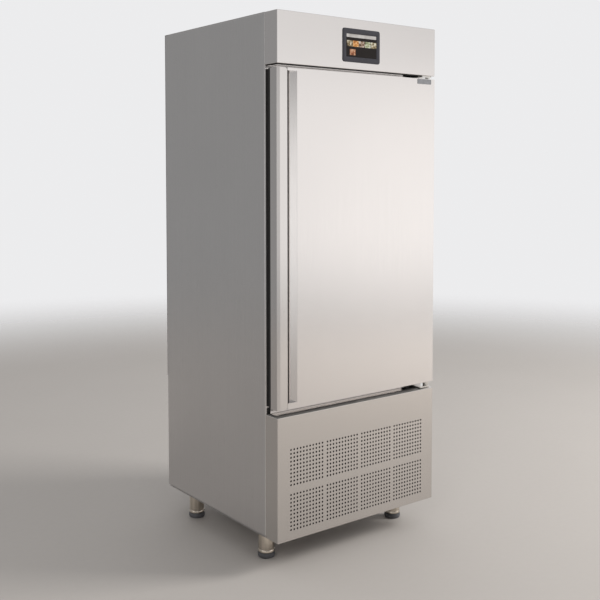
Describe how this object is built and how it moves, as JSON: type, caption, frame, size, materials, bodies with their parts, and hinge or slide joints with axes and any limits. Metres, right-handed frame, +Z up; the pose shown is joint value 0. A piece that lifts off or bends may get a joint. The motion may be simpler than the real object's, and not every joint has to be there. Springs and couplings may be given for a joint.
{
  "type": "blast chiller",
  "caption": "Upright stainless blast chiller with a full-width door, full-height recessed handle, touch display fascia, tray racks, evaporator fans and a perforated machine panel.",
  "frame": {"origin": "on the floor, under the middle of the cabinet's outer box", "axes": "+Z up, front faces -Y, +X to the right seen from the front"},
  "size_m": [0.8, 0.8106, 2.06],
  "materials": {
    "casing_steel": "satin",
    "front_steel": "satin",
    "liner_steel": "satin",
    "hinge_steel": "satin",
    "badge_metal": "satin",
    "black_plastic": "matte",
    "bezel_plastic": "satin",
    "screen_glass": "gloss",
    "gasket_rubber": "matte",
    "insulation_foam": "matte",
    "coil_aluminium": "satin",
    "copper": "satin",
    "machine_black": "satin",
    "compressor_black": "satin",
    "circuit_board": "matte",
    "foot_steel": "satin",
    "foot_grey": "matte"
  },
  "bodies": {
    "cabinet": {"left_side_panel": "casing_steel", "right_side_panel": "casing_steel", "top_panel": "casing_steel", "rear_panel": "casing_steel", "base_panel": "casing_steel", "front_frame": "casing_steel", "cabinet_insulation": "insulation_foam", "inner_liner": "liner_steel", "rear_service_cover": "casing_steel", "control_fascia": "front_steel", "display_bezel": "bezel_plastic", "touch_screen": "screen_glass", "display_housing": "black_plastic", "electrical_box": "casing_steel", "control_board": "circuit_board", "grille_panel": "front_steel", "hinge_bracket_bottom": "hinge_steel", "hinge_bracket_top": "hinge_steel", "fan_cowl": "liner_steel", "evaporator_motor_1": "machine_black", "evaporator_motor_2": "machine_black", "evaporator_coil": "coil_aluminium", "drip_tray": "liner_steel", "drain_pipe": "black_plastic", "compressor": "compressor_black", "condenser_coil": "coil_aluminium", "condenser_shroud": "machine_black", "condenser_motor": "machine_black", "liquid_receiver": "compressor_black", "filter_drier": "copper", "suction_line": "copper", "discharge_line": "copper", "receiver_line": "copper", "liquid_line": "copper", "evaporator_feed": "copper", "power_gland": "black_plastic", "foot_socket_front_left": "foot_steel", "foot_socket_front_right": "foot_steel", "foot_socket_rear_left": "foot_steel", "foot_socket_rear_right": "foot_steel"},
    "door": {"door_outer_skin": "front_steel", "door_handle": "front_steel", "door_insulation": "insulation_foam", "door_inner_panel": "liner_steel", "door_frame_profile": "black_plastic", "door_gasket": "gasket_rubber", "badge_plate": "badge_metal", "hinge_bush_bottom": "black_plastic", "hinge_bush_top": "black_plastic"},
    "rack_left": {"tray_rack_left": "liner_steel"},
    "rack_right": {"tray_rack_right": "liner_steel"},
    "evaporator_rotor_1": {"evaporator_fan_1": "black_plastic"},
    "evaporator_rotor_2": {"evaporator_fan_2": "black_plastic"},
    "condenser_rotor": {"condenser_fan": "black_plastic"},
    "foot_front_left": {"foot_base_front_left": "foot_grey"},
    "foot_front_right": {"foot_base_front_right": "foot_grey"},
    "foot_rear_left": {"foot_base_rear_left": "foot_grey"},
    "foot_rear_right": {"foot_base_rear_right": "foot_grey"}
  },
  "joints": [
    {"name": "door_hinge", "type": "hinge", "parent": "cabinet", "child": "door", "pos_m": [0.388, -0.37275, 0.6101], "axis": [0, 0, 1], "range_deg": [0, 110]},
    {"name": "evaporator_fan_1_spin", "type": "hinge", "parent": "cabinet", "child": "evaporator_rotor_1", "pos_m": [0, 0.20925, 0.98913], "axis": [0, 1, 0], "continuous": true},
    {"name": "evaporator_fan_2_spin", "type": "hinge", "parent": "cabinet", "child": "evaporator_rotor_2", "pos_m": [0, 0.20925, 1.48157], "axis": [0, 1, 0], "continuous": true},
    {"name": "condenser_fan_spin", "type": "hinge", "parent": "cabinet", "child": "condenser_rotor", "pos_m": [0, -0.21895, 0.3153], "axis": [0, 1, 0], "continuous": true},
    {"name": "foot_front_left_adjust", "type": "slide", "parent": "cabinet", "child": "foot_front_left", "axis": [0, 0, -1], "range_m": [0, 0.04]},
    {"name": "foot_front_right_adjust", "type": "slide", "parent": "cabinet", "child": "foot_front_right", "axis": [0, 0, -1], "range_m": [0, 0.04]},
    {"name": "foot_rear_left_adjust", "type": "slide", "parent": "cabinet", "child": "foot_rear_left", "axis": [0, 0, -1], "range_m": [0, 0.04]},
    {"name": "foot_rear_right_adjust", "type": "slide", "parent": "cabinet", "child": "foot_rear_right", "axis": [0, 0, -1], "range_m": [0, 0.04]},
    {"name": "rack_left_lift", "type": "slide", "parent": "cabinet", "child": "rack_left", "axis": [0, 0, 1], "range_m": [0, 0.015]},
    {"name": "rack_right_lift", "type": "slide", "parent": "cabinet", "child": "rack_right", "axis": [0, 0, 1], "range_m": [0, 0.015]}
  ]
}
